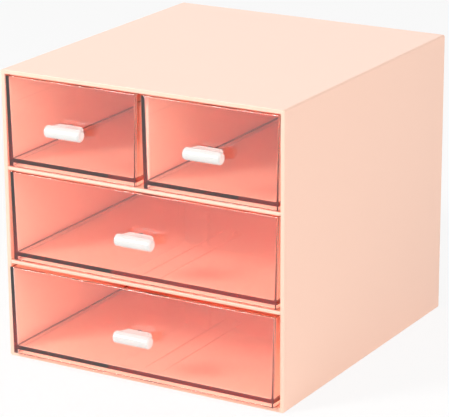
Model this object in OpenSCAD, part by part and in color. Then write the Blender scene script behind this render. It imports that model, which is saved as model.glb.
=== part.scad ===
// Desktop mini drawers.
// A moulded case holds three tiers: two half-width drawers side by side on top
// and two full-width drawers below. Each drawer is a clear tinted tray with a
// flat front, a floor raised on a skirt, and a short bar knob held by one screw.
// The origin is the middle of the case's underside, with the fronts facing -Y.

/* [Case] */
// Width of the case
case_w = 170; // [150:1:200]
// Depth of the case, from the front rim to the rear rim
case_d = 183; // [165:1:210]
// Clear height of each of the three tiers
tier_h = 50.4; // [42:0.2:60]
// Thickness of the case's top, sides and floor
case_wall = 2.4; // [2.2:0.1:3.2]
// Radius of the four long outer edges of the case
case_edge_r = 1.2; // [0.4:0.1:2]
// Width of the rim under the case that it stands on
base_rim_w = 6; // [4:0.5:12]
// Depth of the hollow inside that rim
base_recess = 0.8; // [0.4:0.1:1.2]

/* [Shelves and divider] */
// Thickness of the two shelves
shelf_t = 2; // [1.6:0.1:3]
// Depth of the grooves that hold the shelves and the divider
groove_d = 0.8; // [0.5:0.1:1.2]
// Gap round an edge that sits in a groove or a rebate
groove_fit = 0.1; // [0.05:0.05:0.2]
// Length of plain side wall in front of the shelf grooves
groove_setback = 4; // [2:0.5:10]
// Thickness of the divider between the two top drawers
divider_t = 1.8; // [1.4:0.1:2]
// How far the divider's front edge lies behind the front rim
divider_setback = 8; // [6:0.5:20]
// Thickness of each of the two ribs that hold the divider's foot
socket_rib_t = 0.8; // [0.6:0.1:1]
// Height of those ribs
socket_rib_h = 2; // [1:0.1:2.4]

/* [Drawer stop tongues] */
// Width of the spring tongue under each wide drawer
tongue_w = 10.4; // [8:0.2:16]
// Width of the slits round the tongue
slit_w = 0.8; // [0.6:0.1:1.2]
// Distance from the front rim to the start of the slits
tongue_start = 12; // [8:1:20]
// Distance from the front rim to the catching face of the stop nub
nub_reach = 96; // [70:1:120]
// Height of the stop nub
nub_h = 1.4; // [1:0.1:1.6]
// Length of the stop nub's ramp
nub_ramp = 7; // [4:0.5:12]
// Width of the stop nub
nub_w = 5; // [3:0.5:7]

/* [Back panel] */
// Thickness of the back panel
back_t = 2.4; // [1.8:0.1:3.2]
// How far the back panel lies inside the rear rim
back_recess = 0.6; // [0.2:0.1:2]
// Depth of the rebate in the case that the back panel sits in
rebate_d = 1; // [0.6:0.1:1.4]
// How far the closing stops stand out from the back panel
stop_d = 4.7; // [3:0.1:8]
// Width of a closing stop
stop_w = 3; // [2:0.5:6]
// Height of a closing stop
stop_h = 20; // [10:1:30]
// Distance from a drawer's side to its closing stop
stop_inset = 16; // [12:1:24]

/* [Drawers] */
// Gap between a top drawer and the case's side, at the top of the front
small_side_gap = 0.3; // [0.2:0.1:0.8]
// Gap between a wide drawer and the case's side, at the top of the front
wide_side_gap = 1.3; // [0.3:0.1:2]
// Gap between the fronts of the two top drawers, at their top
front_mid_gap = 3.1; // [3:0.1:6]
// Gap above a front
front_top_gap = 0.8; // [0.4:0.1:1.2]
// Running gap under a drawer
drawer_lift = 0.3; // [0.2:0.05:0.5]
// Gap between a closed drawer and its closing stops
stop_gap = 0.3; // [0.2:0.1:1]
// How far the bottom drawer has been left pulled out
bottom_ajar = 3; // [0:0.5:20]
// Thickness of a drawer's front
front_t = 2; // [1.6:0.1:3]
// Radius of the front's outer edges
front_edge_r = 0.4; // [0.2:0.1:1]
// Thickness of a drawer's walls at their top
wall_t = 1.2; // [1:0.1:2]
// Thickness of a drawer's floor
floor_t = 2.1; // [1.2:0.1:2.4]
// Height of the skirt below the floor
skirt_h = 2; // [1.8:0.1:3.6]
// Thickness of the skirt
skirt_t = 1.6; // [1.2:0.1:1.8]
// Draft angle of the walls outside, in degrees
outer_draft = 0.9; // [0.5:0.1:1.4]
// Draft angle of the walls inside, in degrees
inner_draft = 1.6; // [1.4:0.1:2.2]
// Radius of the rear corners at the top of the walls
corner_r = 6.4; // [6:0.1:10]
// Radius between the floor and the walls inside
floor_r = 2; // [1:0.1:2.4]

/* [Knobs] */
// Length of the knob's bar
bar_l = 22; // [18:0.5:32]
// Diameter of the bar
bar_d = 6.6; // [6:0.1:9]
// Radius at the ends of the bar
bar_end_r = 1.4; // [0.6:0.1:2.4]
// Distance from the drawer's front to the middle of the bar
bar_reach = 6; // [5.5:0.1:10]
// Width of the stem
stem_w = 16; // [10:0.5:17]
// Height of the stem
stem_h = 6.2; // [4.6:0.1:6.4]
// Radius of the stem's long edges
stem_r = 1.6; // [0.6:0.1:2]

/* [Knob screws] */
// Diameter of the screw's shank
screw_d = 3; // [2.4:0.1:3.4]
// Length of the screw under its head
screw_l = 8; // [6:0.5:9]
// Diameter of the screw's head
screw_head_d = 6.4; // [5.6:0.1:8]
// Height of the screw's head
screw_head_h = 2; // [1.4:0.1:2.6]
// Gap round the shank in the drawer's front
screw_hole_gap = 0.2; // [0.1:0.05:0.4]
// Gap round the shank in the knob
screw_knob_gap = 0.05; // [0.05:0.05:0.1]

/* [Hidden] */
$fn = 48;

// A cut runs this far past the faces that it opens
past = 1;
case_h = 2 * case_wall + 3 * tier_h + 2 * shelf_t;
inner_w = case_w - 2 * case_wall;
inner_h = case_h - 2 * case_wall;
front_y = -case_d / 2;
rear_y = case_d / 2;
back_face_y = rear_y - back_recess - back_t;
shelf_d = back_face_y - groove_fit - front_y;

front_h = tier_h - drawer_lift - front_top_gap;
wide_front_w = inner_w - 2 * wide_side_gap;
small_front_w = (inner_w - front_mid_gap) / 2 - small_side_gap;
small_x = (small_front_w + front_mid_gap) / 2;
drawer_d = back_face_y - stop_d - stop_gap - front_y;
cavity_z = skirt_h + floor_t;
knob_z = front_h / 2;

case_colour = "#FFDCC8";
drawer_colour = [0.95, 0.5, 0.42, 0.75];
knob_colour = "#FAFAF8";
screw_colour = "#C9CCD0";

// Height of the floor of a tier, counted from 0 at the bottom
function tier_z(i) = case_wall + i * (tier_h + shelf_t);

// How far a drafted wall has leaned in at a height above the drawer's lower edge
function lean(z, draft) = (front_h - z) * tan(draft);

// A profile of x and z, extruded along Y
module along_y(from_y, length) {
    translate([0, from_y + length, 0])
        rotate([90, 0, 0])
            linear_extrude(length)
                children();
}

// A profile of y and z, extruded along X and centred
module along_x(length) {
    translate([-length / 2, 0, 0])
        rotate([90, 0, 90])
            linear_extrude(length)
                children();
}

// A box given by its middle in x and its low corner in y and z
module block(w, d, h) {
    translate([-w / 2, 0, 0])
        cube([w, d, h]);
}

// A rectangle with four round corners, standing on z = 0
module round_rect(w, h, r) {
    translate([-w / 2, r])
        square([w, h - 2 * r]);
    translate([-w / 2 + r, 0])
        square([w - 2 * r, h]);
    for (x = [-w / 2 + r, w / 2 - r], z = [r, h - r]) {
        translate([x, z])
            circle(r);
    }
}

// ---- Case ----

// The pair of grooves in the side walls that one shelf slides into
module shelf_grooves(tier) {
    translate([0, front_y + groove_setback, tier_z(tier) - shelf_t - groove_fit])
        block(inner_w + 2 * groove_d, case_d, shelf_t + 2 * groove_fit);
}

// Two slits along the tongue and one across its free end, cut through a floor
module tongue_slits(floor_z) {
    slit_l = nub_reach - tongue_start + slit_w;
    translate([0, front_y + tongue_start, floor_z - case_wall - past])
        difference() {
            block(tongue_w + 2 * slit_w, slit_l, case_wall + 2 * past);
            translate([0, -past, -past])
                block(tongue_w, slit_l - slit_w + past, case_wall + 4 * past);
        }
}

// The catch at the tongue's free end: a ramp from the front, square at the rear
module stop_nub(floor_z) {
    translate([0, front_y + nub_reach, floor_z])
        along_x(nub_w)
            polygon([[-nub_ramp, -shelf_t / 2], [0, -shelf_t / 2], [0, nub_h], [-nub_ramp / 3, nub_h], [-nub_ramp, 0]]);
}

module case_shell() {
    color(case_colour) {
        difference() {
            along_y(front_y, case_d)
                round_rect(case_w, case_h, case_edge_r);
            translate([0, front_y - past, case_wall])
                block(inner_w, case_d + 2 * past, inner_h);
            translate([0, back_face_y, case_wall - rebate_d])
                block(inner_w + 2 * rebate_d, case_d, inner_h + 2 * rebate_d);
            shelf_grooves(1);
            shelf_grooves(2);
            translate([0, front_y + divider_setback - groove_fit, tier_z(2)])
                block(divider_t + 2 * groove_fit, case_d, tier_h + groove_d);
            translate([0, front_y + base_rim_w, -past])
                block(case_w - 2 * base_rim_w, case_d - 2 * base_rim_w, base_recess + past);
            tongue_slits(tier_z(0));
        }
        stop_nub(tier_z(0));
    }
}

// A shelf's plate: narrow behind the front rim, then as wide as its grooves
module shelf_plate(tier) {
    translate([0, front_y, tier_z(tier) - shelf_t])
        block(inner_w - 2 * groove_fit, shelf_d, shelf_t);
    translate([0, front_y + groove_setback + groove_fit, tier_z(tier) - shelf_t])
        block(inner_w + 2 * (groove_d - groove_fit), shelf_d - groove_setback - groove_fit, shelf_t);
}

module lower_shelf() {
    color(case_colour) {
        difference() {
            shelf_plate(1);
            tongue_slits(tier_z(1));
        }
        stop_nub(tier_z(1));
    }
}

module upper_shelf() {
    rib_x = divider_t / 2 + groove_fit + socket_rib_t / 2;
    color(case_colour) {
        shelf_plate(2);
        for (x = [-rib_x, rib_x]) {
            translate([x, front_y + divider_setback, tier_z(2) - shelf_t / 2])
                block(socket_rib_t, shelf_d - divider_setback, socket_rib_h + shelf_t / 2);
        }
    }
}

module drawer_divider() {
    color(case_colour)
        translate([0, front_y + divider_setback, tier_z(2) + groove_fit])
            block(divider_t, shelf_d - divider_setback, tier_h + groove_d - 2 * groove_fit);
}

// The two closing stops of one drawer, seen from its middle
module closing_stops(tier, front_w) {
    stop_x = front_w / 2 - stop_inset;
    for (x = [-stop_x, stop_x]) {
        translate([x, back_face_y - stop_d, tier_z(tier) + tier_h - front_top_gap - stop_h])
            block(stop_w, stop_d + back_t / 2, stop_h);
    }
}

module back_panel() {
    color(case_colour) {
        translate([0, back_face_y, case_wall - rebate_d + groove_fit])
            block(inner_w + 2 * (rebate_d - groove_fit), back_t, inner_h + 2 * (rebate_d - groove_fit));
        closing_stops(0, wide_front_w);
        closing_stops(1, wide_front_w);
        for (x = [-small_x, small_x]) {
            translate([x, 0, 0])
                closing_stops(2, small_front_w);
        }
    }
}

// ---- Drawers, each with y = 0 at its front face and z = 0 at its lower edge ----

// One half of a drafted section, from the middle out to the leaning wall.
// r rounds the foot of the wall, where it is more than 0.
module drafted_half(low_w, high_w, height, r) {
    foot = r > 0 ? [[low_w - r, 0], [low_w - r, r], [low_w, r]] : [[low_w, 0]];
    polygon(concat([[0, 0]], foot, [[high_w, height], [0, height]]));
    if (r > 0) {
        translate([low_w - r, r])
            intersection() {
                circle(r);
                translate([0, -r])
                    square(r);
            }
    }
}

// A drafted tub: straight at the front, with leaning sides and round rear corners.
// half_w and rear are its half width and its rear face at the top of the drawer.
module drafted_tub(half_w, front, rear, r_top, low_z, high_z, draft, r) {
    height = high_z - low_z;
    low_r = r_top - lean(low_z, draft);
    high_r = r_top - lean(high_z, draft);
    corner_x = half_w - r_top;
    corner_y = rear - r_top;
    translate([0, 0, low_z]) {
        for (side = [0, 1]) {
            mirror([side, 0, 0])
                along_y(front, corner_y - front)
                    drafted_half(corner_x + low_r, corner_x + high_r, height, r);
            translate([side == 0 ? corner_x : -corner_x, corner_y, 0])
                rotate_extrude()
                    drafted_half(low_r, high_r, height, r);
        }
        along_x(2 * corner_x)
            translate([front, 0])
                drafted_half(corner_y + low_r - front, corner_y + high_r - front, height, r);
    }
}

// The section of everything behind the front face, with its two front edges rounded
module rounded_slab(w) {
    translate([0, front_edge_r])
        square([w, drawer_d]);
    translate([front_edge_r, 0])
        square([w - 2 * front_edge_r, drawer_d]);
    for (x = [front_edge_r, w - front_edge_r]) {
        translate([x, front_edge_r])
            circle(front_edge_r);
    }
}

// A slab with two rounded front edges that leans with the wall at the right
module leaning_slab(half_w) {
    translate([half_w, 0, front_h])
        rotate([0, outer_draft, 0])
            translate([-4 * half_w, 0, -front_h - past])
                linear_extrude(front_h + 4 * past)
                    rounded_slab(4 * half_w);
}

// The drawer's outer form: the tub, less what the rounded edges of the front leave out
module drawer_block(half_w) {
    intersection() {
        drafted_tub(half_w, 0, drawer_d, corner_r, 0, front_h, outer_draft, 0);
        along_x(2 * half_w)
            rotate(90)
                mirror([0, 1])
                    rounded_slab(front_h);
        leaning_slab(half_w);
        mirror([1, 0, 0])
            leaning_slab(half_w);
    }
}

// The hollow below the floor, inside the skirt
module skirt_hollow(half_w) {
    hollow_w = 2 * (half_w - lean(0, outer_draft) - skirt_t);
    hollow_d = drawer_d - lean(0, outer_draft) - skirt_t - front_t;
    r = corner_r - lean(0, outer_draft) - skirt_t;
    translate([0, front_t, -past])
        linear_extrude(skirt_h + past) {
            translate([-hollow_w / 2, 0])
                square([hollow_w, hollow_d - r]);
            translate([-hollow_w / 2 + r, 0])
                square([hollow_w - 2 * r, hollow_d]);
            for (x = [-hollow_w / 2 + r, hollow_w / 2 - r]) {
                translate([x, hollow_d - r])
                    circle(r);
            }
        }
}

module drawer(front_w) {
    half_w = front_w / 2;
    color(drawer_colour)
        difference() {
            drawer_block(half_w);
            drafted_tub(half_w - wall_t, front_t, drawer_d - wall_t, corner_r - wall_t,
                cavity_z, front_h + past, inner_draft, floor_r);
            skirt_hollow(half_w);
            translate([0, -past, knob_z])
                rotate([-90, 0, 0])
                    cylinder(h = front_t + 2 * past, d = screw_d + 2 * screw_hole_gap);
        }
}

// ---- Knobs and their screws, each with y = 0 at the drawer's front face ----

// The bar's section from its axis: a rod with round ends
module bar_half() {
    square([bar_d / 2 - bar_end_r, bar_l / 2]);
    square([bar_d / 2, bar_l / 2 - bar_end_r]);
    translate([bar_d / 2 - bar_end_r, bar_l / 2 - bar_end_r])
        intersection() {
            circle(bar_end_r);
            square(bar_end_r);
        }
}

module knob() {
    bore_l = screw_l - front_t;
    color(knob_colour)
        difference() {
            union() {
                translate([0, -bar_reach, 0])
                    rotate([0, 90, 0])
                        for (end = [0, 1]) {
                            mirror([0, 0, end])
                                rotate_extrude()
                                    bar_half();
                        }
                along_y(-bar_reach, bar_reach)
                    translate([0, -stem_h / 2])
                        round_rect(stem_w, stem_h, stem_r);
            }
            rotate([90, 0, 0])
                translate([0, 0, -past])
                    cylinder(h = bore_l + past + groove_fit, d = screw_d + 2 * screw_knob_gap);
        }
}

module knob_screw() {
    dome_r = (screw_head_d * screw_head_d / 4 + screw_head_h * screw_head_h) / (2 * screw_head_h);
    color(screw_colour)
        translate([0, front_t, 0]) {
            rotate([90, 0, 0])
                cylinder(h = screw_l, d = screw_d);
            rotate([-90, 0, 0])
                intersection() {
                    cylinder(h = screw_head_h, d = screw_head_d);
                    translate([0, 0, screw_head_h - dome_r])
                        sphere(dome_r);
                }
        }
}

// ---- Places ----

module at_top_left() {
    translate([-small_x, front_y, tier_z(2) + drawer_lift])
        children();
}

module at_top_right() {
    translate([small_x, front_y, tier_z(2) + drawer_lift])
        children();
}

module at_middle() {
    translate([0, front_y, tier_z(1) + drawer_lift])
        children();
}

module at_bottom() {
    translate([0, front_y - bottom_ajar, tier_z(0) + drawer_lift])
        children();
}

module at_knob() {
    translate([0, 0, knob_z])
        children();
}

case_shell();
back_panel();
lower_shelf();
upper_shelf();
drawer_divider();
at_top_left() drawer(small_front_w);  // top_left_drawer
at_top_right() drawer(small_front_w);  // top_right_drawer
at_middle() drawer(wide_front_w);  // middle_drawer
at_bottom() drawer(wide_front_w);  // bottom_drawer
at_top_left() at_knob() knob();  // top_left_knob
at_top_right() at_knob() knob();  // top_right_knob
at_middle() at_knob() knob();  // middle_knob
at_bottom() at_knob() knob();  // bottom_knob
at_top_left() at_knob() knob_screw();  // top_left_knob_screw
at_top_right() at_knob() knob_screw();  // top_right_knob_screw
at_middle() at_knob() knob_screw();  // middle_knob_screw
at_bottom() at_knob() knob_screw();  // bottom_knob_screw
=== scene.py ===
# Desktop mini drawers: the dressed model.
# Lengths are in millimetres and turned to metres by MM where they meet the scene. The frame is the
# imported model's: +Z up, fronts facing -Y, and the origin in the middle of the case's underside.
import math

import bmesh
import bpy
from mathutils import Matrix, Vector


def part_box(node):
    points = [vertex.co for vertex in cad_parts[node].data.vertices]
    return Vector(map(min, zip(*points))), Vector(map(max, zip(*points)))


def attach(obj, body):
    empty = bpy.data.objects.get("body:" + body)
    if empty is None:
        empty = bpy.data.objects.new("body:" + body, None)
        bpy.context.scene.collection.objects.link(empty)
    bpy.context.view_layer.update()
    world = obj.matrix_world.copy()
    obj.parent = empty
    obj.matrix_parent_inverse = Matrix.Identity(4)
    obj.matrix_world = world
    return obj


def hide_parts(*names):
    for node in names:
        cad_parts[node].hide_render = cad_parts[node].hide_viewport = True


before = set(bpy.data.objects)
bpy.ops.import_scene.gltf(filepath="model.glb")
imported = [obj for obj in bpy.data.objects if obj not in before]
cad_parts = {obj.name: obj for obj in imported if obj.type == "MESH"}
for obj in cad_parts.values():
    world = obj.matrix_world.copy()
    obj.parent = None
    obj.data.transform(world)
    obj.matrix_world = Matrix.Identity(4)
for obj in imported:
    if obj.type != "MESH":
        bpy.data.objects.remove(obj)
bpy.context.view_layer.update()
scene = bpy.context.scene
MM = 0.001


# ---- Case shell ----
# One injection-moulded polypropylene shell: top, sides and floor, with grooves for the shelves.
# It is opaque peach with a satin, finely eroded mould texture, and its rims have a small radius.

case_peach = "#FCD1BB"
case_rim_radius = 0.35
rim_steps = 3
mould_texture = 0.35
mould_texture_depth = 0.02
mould_texture_strength = 0.12
satin_roughness = 0.36
polypropylene_ior = 1.49
weld_distance = 1e-6
same_plane_distance = 1e-5
flat_angle = math.radians(1)
crease_angle = math.radians(30)


def linear(hex_colour):
    """An sRGB hex colour as linear RGBA."""
    channels = [int(hex_colour[i:i + 2], 16) / 255 for i in (1, 3, 5)]
    return [c / 12.92 if c <= 0.04045 else ((c + 0.055) / 1.055) ** 2.4 for c in channels] + [1.0]


def new_material(name):
    material = bpy.data.materials.new(name)
    material.use_nodes = True
    material.node_tree.nodes.clear()
    return material


def add_node(owner, kind, settings=None, **inputs):
    """Adds a shader node. settings are its attributes, and an input is a value or a socket to link."""
    node = owner.node_tree.nodes.new(kind)
    for name, value in (settings or {}).items():
        setattr(node, name, value)
    for name, value in inputs.items():
        socket = node.inputs[int(name[1:]) if name[1:].isdigit() else name.replace("_", " ")]
        if isinstance(value, bpy.types.NodeSocket):
            owner.node_tree.links.new(value, socket)
        else:
            socket.default_value = value
    return node


def satin_polypropylene():
    """Pigmented polypropylene: broad satin highlights from a fine spark-eroded texture."""
    m = new_material("peach_satin_polypropylene")
    place = add_node(m, "ShaderNodeTexCoord")
    grain = add_node(m, "ShaderNodeTexNoise", Vector=place.outputs["Object"],
                     Scale=1 / (mould_texture * MM), Detail=2.0)
    bump = add_node(m, "ShaderNodeBump", Height=grain.outputs["Fac"],
                    Strength=mould_texture_strength, Distance=mould_texture_depth * MM)
    plastic = add_node(m, "ShaderNodeBsdfPrincipled", Base_Color=linear(case_peach),
                       Roughness=satin_roughness, IOR=polypropylene_ior, Normal=bump.outputs["Normal"])
    add_node(m, "ShaderNodeOutputMaterial", Surface=plastic.outputs["BSDF"])
    return m


def add_piece(name, mesh, material, node_name, body_name):
    """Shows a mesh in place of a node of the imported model, with flat faces kept flat in shading."""
    mesh.materials.append(material)
    mesh.shade_smooth()
    mesh.set_sharp_from_angle(angle=crease_angle)
    piece = bpy.data.objects.new(name, mesh)
    scene.collection.objects.link(piece)
    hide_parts(node_name)
    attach(piece, body_name)
    return piece


def flatten_shading(piece):
    """Large faces keep their own normals, so only the small radii between them are shaded round."""
    even = piece.modifiers.new("even_normals", "WEIGHTED_NORMAL")
    even.mode = "FACE_AREA"
    even.weight = 100
    even.keep_sharp = True


def rim_copy(node_name, *rim_depths):
    """The node's solid as a welded mesh. The edges that lie at the given depths (y) are to be rounded."""
    solid = bmesh.new()
    solid.from_mesh(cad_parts[node_name].data)
    bmesh.ops.remove_doubles(solid, verts=solid.verts, dist=weld_distance)
    bmesh.ops.dissolve_limit(solid, angle_limit=flat_angle, verts=solid.verts, edges=solid.edges)
    bmesh.ops.recalc_face_normals(solid, faces=solid.faces)
    weight = solid.edges.layers.float.new("bevel_weight_edge")
    for edge in solid.edges:
        in_rim = any(all(abs(v.co.y - depth) < same_plane_distance for v in edge.verts)
                     for depth in rim_depths)
        if in_rim and edge.calc_face_angle(0.0) > crease_angle:
            edge[weight] = 1.0
    mesh = bpy.data.meshes.new(node_name + "_moulded")
    solid.to_mesh(mesh)
    solid.free()
    return mesh


def round_rims(piece, radius):
    soft = piece.modifiers.new("moulded_radius", "BEVEL")
    soft.limit_method = "WEIGHT"
    soft.width = radius * MM
    soft.segments = rim_steps
    soft.use_clamp_overlap = False


case_plastic = satin_polypropylene()
case_low, case_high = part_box("case_shell")
shell = add_piece("shell_moulding", rim_copy("case_shell", case_low[1], case_high[1]), case_plastic,
                  "case_shell", "case")
round_rims(shell, case_rim_radius)
flatten_shading(shell)


# ---- Lower shelf and upper shelf ----
# Two thin polypropylene plates in the case's colour, slid into its grooves from the rear. The lower
# one carries a spring tongue with a stop nub, and the upper one two ribs for the divider's foot.

shelf_edge_radius = 0.4

for shelf_name in ("lower_shelf", "upper_shelf"):
    shelf = add_piece(shelf_name + "_plate", rim_copy(shelf_name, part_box(shelf_name)[0][1]), case_plastic,
                      shelf_name, "case")
    round_rims(shelf, shelf_edge_radius)
    flatten_shading(shelf)


# ---- Divider between the top drawers ----
# A plain polypropylene plate that stands between the ribs of the upper shelf and in a groove under
# the case's top. Its front edge lies behind the fronts.

divider_edge_radius = 0.4

divider_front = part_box("drawer_divider")[0][1]
divider = add_piece("divider_plate", rim_copy("drawer_divider", divider_front), case_plastic,
                    "drawer_divider", "case")
round_rims(divider, divider_edge_radius)
flatten_shading(divider)


# ---- Back panel ----
# A polypropylene plate snapped into the rebate at the rear of the case. Eight closing stops stand
# on its inside, two behind each drawer.

panel = add_piece("back_plate", rim_copy("back_panel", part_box("back_panel")[1][1]), case_plastic,
                  "back_panel", "case")
round_rims(panel, case_rim_radius)
flatten_shading(panel)


# ---- Drawers ----
# Clear coral crystal polystyrene trays, each moulded in one piece with its front. The walls lean in
# by the mould's draft, the floor stands on a skirt, and all surfaces have a mirror polish.

front_thickness = 2.0
wall_thickness = 1.2
floor_thickness = 2.1
skirt_height = 2.0
skirt_thickness = 1.6
outer_draft = math.radians(0.9)
inner_draft = math.radians(1.6)
rear_corner_radius = 6.4
floor_fillet = 0.8
front_foot_fillet = 0.5
front_end_radius = 0.5
front_inner_radius = 0.6
tray_edge_radius = 0.3
front_corner_steps = 4
rear_corner_steps = 12
fillet_steps = 8
edge_steps = 3
knob_bore = 3.4
bore_overrun = 1.0
rim_margin = 0.05
polish_roughness = 0.02
polish_weight = 0.5
crystal_ior = 1.59
coral_density = 50.0
coral_tint = [0.95, 0.56, 0.40, 1.0]


def arc(steps):
    """Pairs of sine and cosine from 0 to 90 degrees."""
    return [(math.sin(math.pi / 2 * i / steps), math.cos(math.pi / 2 * i / steps)) for i in range(steps + 1)]


def outline(half_w, front, rear, front_r, rear_r, z):
    """A level outline with two small corners at the front and two large ones at the rear."""
    points = []
    for x, y, r, first, steps in (
        (front_r - half_w, front + front_r, front_r, 180, front_corner_steps),
        (half_w - front_r, front + front_r, front_r, 270, front_corner_steps),
        (half_w - rear_r, rear - rear_r, rear_r, 0, rear_corner_steps),
        (rear_r - half_w, rear - rear_r, rear_r, 90, rear_corner_steps),
    ):
        for i in range(steps + 1):
            angle = math.radians(first + 90 * i / steps)
            points.append((x + r * math.cos(angle), y + r * math.sin(angle), z))
    return points


def tray_outlines(half_w, depth, height):
    """The tray's skin as outlines, from under its floor, round the skirt and walls, to its inside floor."""
    edge = tray_edge_radius

    def outside(z, inset):
        lean = (height - z) * math.tan(outer_draft) + inset
        return outline(half_w - lean, inset, depth - lean, front_end_radius - inset,
                       rear_corner_radius - lean, z)

    def under(z, inset):
        lean = height * math.tan(outer_draft) + skirt_thickness + inset
        return outline(half_w - lean, front_thickness + inset, depth - lean, front_inner_radius,
                       rear_corner_radius - lean, z)

    def inside(z, inset, front_inset):
        lean = wall_thickness + (height - z) * math.tan(inner_draft) + inset
        return outline(half_w - lean, front_thickness + front_inset, depth - lean, front_inner_radius,
                       rear_corner_radius - lean, z)

    floor_z = skirt_height + floor_thickness
    rings = [under(skirt_height, 0.0)]
    rings += [under(edge * (1 - s), -edge * (1 - c)) for s, c in arc(edge_steps)]
    rings += [outside(edge * (1 - c), edge * (1 - s)) for s, c in arc(edge_steps)]
    rings += [outside(height - edge * (1 - s), edge * (1 - c)) for s, c in arc(edge_steps)]
    rings += [inside(height - edge * (1 - c), -edge * (1 - s), -edge * (1 - s)) for s, c in arc(edge_steps)]
    for s, c in arc(fillet_steps):
        above = floor_fillet * (1 - s)
        reach = max(front_foot_fillet - above, 0.0)
        front_inset = front_foot_fillet - math.sqrt(front_foot_fillet ** 2 - reach ** 2)
        rings.append(inside(floor_z + above, floor_fillet * (1 - c), front_inset))
    return rings


def loft(name, rings, origin):
    """A closed mesh through rings of equal count, capped at both ends. origin is in metres."""
    count = len(rings[0])
    points = [Vector(point) * MM + Vector(origin) for ring in rings for point in ring]
    faces = [tuple(reversed(range(count))), tuple(range(len(points) - count, len(points)))]
    for first in range(0, len(points) - count, count):
        for i in range(count):
            j = (i + 1) % count
            faces.append((first + i, first + j, first + count + j, first + count + i))
    mesh = bpy.data.meshes.new(name)
    mesh.from_pydata(points, [], faces)
    solid = bmesh.new()
    solid.from_mesh(mesh)
    bmesh.ops.recalc_face_normals(solid, faces=solid.faces)
    solid.to_mesh(mesh)
    solid.free()
    return mesh


def circle(radius, axis, at, count=32):
    """A ring of points round the X or the Y axis."""
    turns = [2 * math.pi * i / count for i in range(count)]
    if axis == "X":
        return [(at, radius * math.cos(t), radius * math.sin(t)) for t in turns]
    return [(radius * math.cos(t), at, radius * math.sin(t)) for t in turns]


def cut(mesh, tool):
    """The mesh less the tool's solid."""
    body = bpy.data.objects.new(mesh.name, mesh)
    cutter = bpy.data.objects.new(tool.name, tool)
    for thing in (body, cutter):
        scene.collection.objects.link(thing)
    boolean = body.modifiers.new("cut", "BOOLEAN")
    boolean.operation = "DIFFERENCE"
    boolean.object = cutter
    result = bpy.data.meshes.new_from_object(body.evaluated_get(bpy.context.evaluated_depsgraph_get()))
    for thing in (body, cutter):
        bpy.data.objects.remove(thing)
    return result


def coral_crystal():
    """Tinted crystal polystyrene. Its colour is in its depth. Lamp rays pass its large polished faces, but
    not its rims, where light that came in through a large face is held back by total reflection."""
    m = new_material("coral_crystal_polystyrene")
    polish = add_node(m, "ShaderNodeBsdfPrincipled", Base_Color=[1, 1, 1, 1], Roughness=polish_roughness,
                      IOR=crystal_ior, Transmission_Weight=1.0, Coat_Weight=polish_weight,
                      Coat_Roughness=polish_roughness)
    clear = add_node(m, "ShaderNodeBsdfTransparent", Color=[1, 1, 1, 1])
    ray = add_node(m, "ShaderNodeLightPath")
    rim = add_node(m, "ShaderNodeAttribute", {"attribute_name": "rim"})
    passing = add_node(m, "ShaderNodeMath", {"operation": "SUBTRACT", "use_clamp": True},
                       _0=ray.outputs["Is Shadow Ray"], _1=rim.outputs["Fac"])
    surface = add_node(m, "ShaderNodeMixShader", _0=passing.outputs[0],
                       _1=polish.outputs["BSDF"], _2=clear.outputs["BSDF"])
    depth = add_node(m, "ShaderNodeVolumeAbsorption", Color=coral_tint, Density=coral_density)
    add_node(m, "ShaderNodeOutputMaterial", Surface=surface.outputs[0], Volume=depth.outputs["Volume"])
    return m


def mark_rims(mesh, low_z, high_z):
    """Writes 1 on the faces at the foot of the skirt and at the top of the walls."""
    rim = mesh.attributes.new("rim", "FLOAT", "FACE")
    margin = (tray_edge_radius + rim_margin) * MM
    for face in mesh.polygons:
        if face.center.z < low_z + margin or face.center.z > high_z - margin:
            rim.data[face.index].value = 1.0


def tray(place_name):
    """The tray in the place of its node, bored through the middle of its front for the knob's screw."""
    low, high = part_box(place_name + "_drawer")
    half_w = (high[0] - low[0]) / 2 / MM
    depth = (high[1] - low[1]) / MM
    height = (high[2] - low[2]) / MM
    origin = ((low[0] + high[0]) / 2, low[1], low[2])
    knob_axis = (origin[0], origin[1], (low[2] + high[2]) / 2)
    mesh = loft(place_name + "_tray", tray_outlines(half_w, depth, height), origin)
    bore = loft("bore", [circle(knob_bore / 2, "Y", -bore_overrun),
                         circle(knob_bore / 2, "Y", front_thickness + bore_overrun)], knob_axis)
    mesh = cut(mesh, bore)
    mark_rims(mesh, low[2], high[2])
    return mesh


coral = coral_crystal()
for place_name in ("top_left", "top_right", "middle", "bottom"):
    drawer = add_piece(place_name + "_tray", tray(place_name), coral,
                       place_name + "_drawer", place_name + "_drawer_body")
    flatten_shading(drawer)


# ---- Knobs ----
# One short round bar of glossy white ABS on a flat stem for each drawer, moulded in one piece. It
# stands against the middle of the front and is held by a screw from inside.

knob_white = "#E0DFDC"
bar_end_radius = 1.4
stem_width = 16.0
stem_height = 6.2
stem_edge_radius = 1.6
stem_fillet = 0.9
stem_corner_steps = 6
stem_fillet_steps = 5
bar_end_steps = 6
bar_sides = 48
gloss_roughness = 0.2
abs_ior = 1.54


def white_abs():
    """Glossy ABS from a polished mould."""
    m = new_material("glossy_white_abs")
    plastic = add_node(m, "ShaderNodeBsdfPrincipled", Base_Color=linear(knob_white),
                       Roughness=gloss_roughness, IOR=abs_ior)
    add_node(m, "ShaderNodeOutputMaterial", Surface=plastic.outputs["BSDF"])
    return m


def joined(name, meshes):
    """Several meshes as one."""
    both = bmesh.new()
    for mesh in meshes:
        both.from_mesh(mesh)
        bpy.data.meshes.remove(mesh)
    result = bpy.data.meshes.new(name)
    both.to_mesh(result)
    both.free()
    return result


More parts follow.
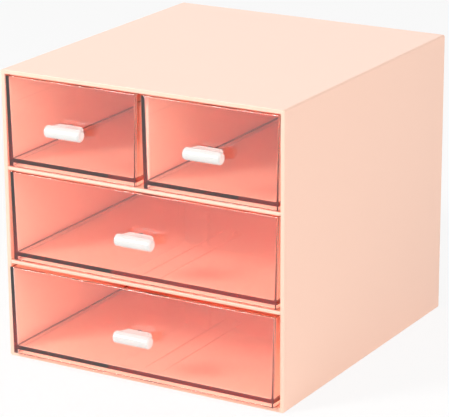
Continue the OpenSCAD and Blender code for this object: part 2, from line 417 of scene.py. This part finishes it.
def stem_outline(grow, y):
    """The stem's section: a rectangle with round corners, wider by grow where it runs into the bar."""
    r = stem_edge_radius
    x = stem_width / 2 + grow - r
    z = stem_height / 2 - r
    points = []
    for corner_x, corner_z, first in ((x, -z, -90), (x, z, 0), (-x, z, 90), (-x, -z, 180)):
        for i in range(stem_corner_steps + 1):
            angle = math.radians(first + 90 * i / stem_corner_steps)
            points.append((corner_x + r * math.cos(angle), y, corner_z + r * math.sin(angle)))
    return points


def knob(place_name):
    """The knob, in the box of its node."""
    low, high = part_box(place_name + "_knob")
    bar_length = (high[0] - low[0]) / MM
    bar_radius = (high[2] - low[2]) / 2 / MM
    bar_axis = (high[1] - low[1]) / MM - bar_radius
    foot = ((low[0] + high[0]) / 2, high[1], (low[2] + high[2]) / 2)
    bar_middle = (foot[0], foot[1] - bar_axis * MM, foot[2])
    end = bar_length / 2 - bar_end_radius
    rounding = [(bar_radius - bar_end_radius * (1 - c), end + bar_end_radius * s)
                for s, c in arc(bar_end_steps)]
    profile = [(r, -x) for r, x in reversed(rounding)] + rounding
    bar = loft("bar", [circle(r, "X", x, bar_sides) for r, x in profile], bar_middle)
    neck = bar_axis - bar_radius - stem_fillet
    rings = [stem_outline(0.0, 0.0)]
    rings += [stem_outline(stem_fillet * (1 - c), -neck - stem_fillet * s)
              for s, c in arc(stem_fillet_steps)]
    rings += [stem_outline(stem_fillet, -bar_axis)]
    return joined(place_name + "_bar_knob", [bar, loft("stem", rings, foot)])


abs_plastic = white_abs()
for place_name in ("top_left", "top_right", "middle", "bottom"):
    handle = add_piece(place_name + "_bar_knob", knob(place_name), abs_plastic,
                       place_name + "_knob", place_name + "_drawer_body")
    flatten_shading(handle)


# ---- Knob screws ----
# One zinc-plated pan-head screw with a cross recess for each knob, driven from inside the drawer
# through the front and into the stem.

zinc_grey = "#C9CCD0"
shank_diameter = 3.0
recess_width = 0.9
recess_length = 3.6
recess_depth = 1.2
recess_taper = 0.6
recess_overrun = 1.0
dome_steps = 8
head_sides = 40
zinc_roughness = 0.28


def zinc_plate():
    """Bright zinc plating: metal with a slightly soft shine."""
    m = new_material("zinc_plated_steel")
    metal = add_node(m, "ShaderNodeBsdfPrincipled", Base_Color=linear(zinc_grey),
                     Roughness=zinc_roughness, Metallic=1.0)
    add_node(m, "ShaderNodeOutputMaterial", Surface=metal.outputs["BSDF"])
    return m


def slot_blade(width, length, top, depth, origin):
    """One arm of the cross: a block that tapers to half its length at its foot."""
    def section(w, half_l, y):
        return [(-w / 2, y, -half_l), (w / 2, y, -half_l), (w / 2, y, half_l), (-w / 2, y, half_l)]
    return loft("blade", [section(width, length / 2, top + recess_overrun), section(width, length / 2, top),
                          section(width * recess_taper, length / 4, top - depth)], origin)


def knob_screw(place_name):
    """The screw, in the box of its node: its domed head inside the drawer, its shank in front and knob."""
    low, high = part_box(place_name + "_knob_screw")
    head_radius = (high[0] - low[0]) / 2 / MM
    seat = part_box(place_name + "_drawer")[0][1] / MM + front_thickness
    head_height = high[1] / MM - seat
    shank_length = seat - low[1] / MM
    middle = ((low[0] + high[0]) / 2, seat * MM, (low[2] + high[2]) / 2)
    dome_radius = (head_radius ** 2 + head_height ** 2) / (2 * head_height)
    reach = math.asin(head_radius / dome_radius)
    angles = [reach * step / dome_steps for step in range(1, dome_steps + 1)]
    dome = [(dome_radius * math.sin(a), head_height - dome_radius * (1 - math.cos(a))) for a in angles]
    profile = [(shank_diameter / 2, -shank_length), (shank_diameter / 2, 0.0)] + list(reversed(dome))
    screw = loft("screw", [circle(r, "Y", y, head_sides) for r, y in profile], middle)
    for turn in (0, 90):
        blade = slot_blade(recess_width, recess_length, head_height, recess_depth, (0, 0, 0))
        blade.transform(Matrix.Translation(middle) @ Matrix.Rotation(math.radians(turn), 4, "Y"))
        screw = cut(screw, blade)
    return screw


zinc = zinc_plate()
for place_name in ("top_left", "top_right", "middle", "bottom"):
    fixing = add_piece(place_name + "_pan_screw", knob_screw(place_name), zinc,
                       place_name + "_knob_screw", place_name + "_drawer_body")
    flatten_shading(fixing)


# ---- Studio ----
# A white paper floor and background with four round softboxes. The background is white to the
# camera, in reflections and through clear plastic, and soft grey as a light source.

floor_half = 3.0
lamp_target = Vector((0, 0, 0.08))
paper_white = "#F4F4F4"
paper_glow = 0.85
room_light = 0.28


def seen_directly(owner, *ray_kinds):
    """A socket that is 1 for the named kinds of ray."""
    ray = add_node(owner, "ShaderNodeLightPath")
    seen = ray.outputs[ray_kinds[0]]
    for kind in ray_kinds[1:]:
        either = add_node(owner, "ShaderNodeMath", {"operation": "MAXIMUM"}, _0=seen, _1=ray.outputs[kind])
        seen = either.outputs[0]
    return seen


def studio_floor():
    """White paper. Part of the brightness that is seen is its own, so that it stays white in shadow."""
    mesh = bpy.data.meshes.new("studio_floor")
    corners = [(-floor_half, -floor_half, 0), (floor_half, -floor_half, 0),
               (floor_half, floor_half, 0), (-floor_half, floor_half, 0)]
    mesh.from_pydata(corners, [], [(0, 1, 2, 3)])
    floor = bpy.data.objects.new("studio_floor", mesh)
    scene.collection.objects.link(floor)
    m = new_material("white_paper")
    paper = add_node(m, "ShaderNodeBsdfDiffuse", Color=linear(paper_white))
    glow = add_node(m, "ShaderNodeEmission", Color=[1, 1, 1, 1], Strength=1.0)
    seen = seen_directly(m, "Is Camera Ray", "Is Glossy Ray", "Is Transmission Ray")
    part = add_node(m, "ShaderNodeMath", {"operation": "MULTIPLY"}, _0=seen, _1=paper_glow)
    surface = add_node(m, "ShaderNodeMixShader", _0=part.outputs[0], _1=paper.outputs[0], _2=glow.outputs[0])
    add_node(m, "ShaderNodeOutputMaterial", Surface=surface.outputs[0])
    mesh.materials.append(m)


def studio_world():
    world = bpy.data.worlds.new("studio")
    scene.world = world
    world.use_nodes = True
    world.node_tree.nodes.clear()
    soft = add_node(world, "ShaderNodeBackground", Color=[1, 1, 1, 1], Strength=room_light)
    white = add_node(world, "ShaderNodeBackground", Color=[1, 1, 1, 1], Strength=1.0)
    seen = seen_directly(world, "Is Camera Ray", "Is Glossy Ray", "Is Transmission Ray")
    mix = add_node(world, "ShaderNodeMixShader", _0=seen, _1=soft.outputs[0], _2=white.outputs[0])
    add_node(world, "ShaderNodeOutputWorld", Surface=mix.outputs[0])


def softbox(name, place, size, power):
    """A round softbox aimed at the middle of the object."""
    lamp = bpy.data.lights.new(name, "AREA")
    lamp.shape = "DISK"
    lamp.size = size
    lamp.energy = power
    box = bpy.data.objects.new(name, lamp)
    box.location = place
    box.rotation_euler = (lamp_target - Vector(place)).to_track_quat("-Z", "Y").to_euler()
    scene.collection.objects.link(box)


studio_floor()
studio_world()
softbox("key_softbox", (-0.82, -1.27, 0.95), 0.5, 22.0)
softbox("top_softbox", (0.0, 0.2, 1.6), 1.2, 4.9)
softbox("fill_softbox", (1.6, -0.5, 0.6), 1.4, 15.1)
softbox("rear_softbox", (-0.9, 1.6, 0.7), 1.2, 2.0)


# ---- Camera ----
# A long lens to the right of the fronts, looking slightly down. Its place comes from the edges
# between the case's seven visible corners in the photograph.

view_azimuth = math.radians(30.415)
view_elevation = math.radians(17.55)
view_roll = math.radians(-0.307)
view_distance = 1189.8
view_target = Vector((50.5, -91.5, 104.35))
sensor_width = 36.0
focal_length = 189.57


def photographers_camera():
    back = Vector((
        math.sin(view_azimuth) * math.cos(view_elevation),
        -math.cos(view_azimuth) * math.cos(view_elevation),
        math.sin(view_elevation),
    ))
    right = Vector((math.cos(view_azimuth), math.sin(view_azimuth), 0.0))
    up = back.cross(right)
    place = Matrix((right, up, back)).transposed().to_4x4()
    place.translation = (view_target + back * view_distance) * MM
    camera = bpy.data.objects.new("camera", bpy.data.cameras.new("camera"))
    camera.data.sensor_width = sensor_width
    camera.data.lens = focal_length
    camera.matrix_world = place @ Matrix.Rotation(view_roll, 4, "Z")
    scene.collection.objects.link(camera)
    scene.camera = camera


photographers_camera()

# Clear plastic needs long paths and unfiltered refraction.
scene.view_settings.view_transform = "Standard"
scene.cycles.blur_glossy = 0.0
scene.cycles.max_bounces = 64
scene.cycles.transmission_bounces = 64
scene.cycles.diffuse_bounces = 16
scene.cycles.glossy_bounces = 32
scene.cycles.transparent_max_bounces = 64
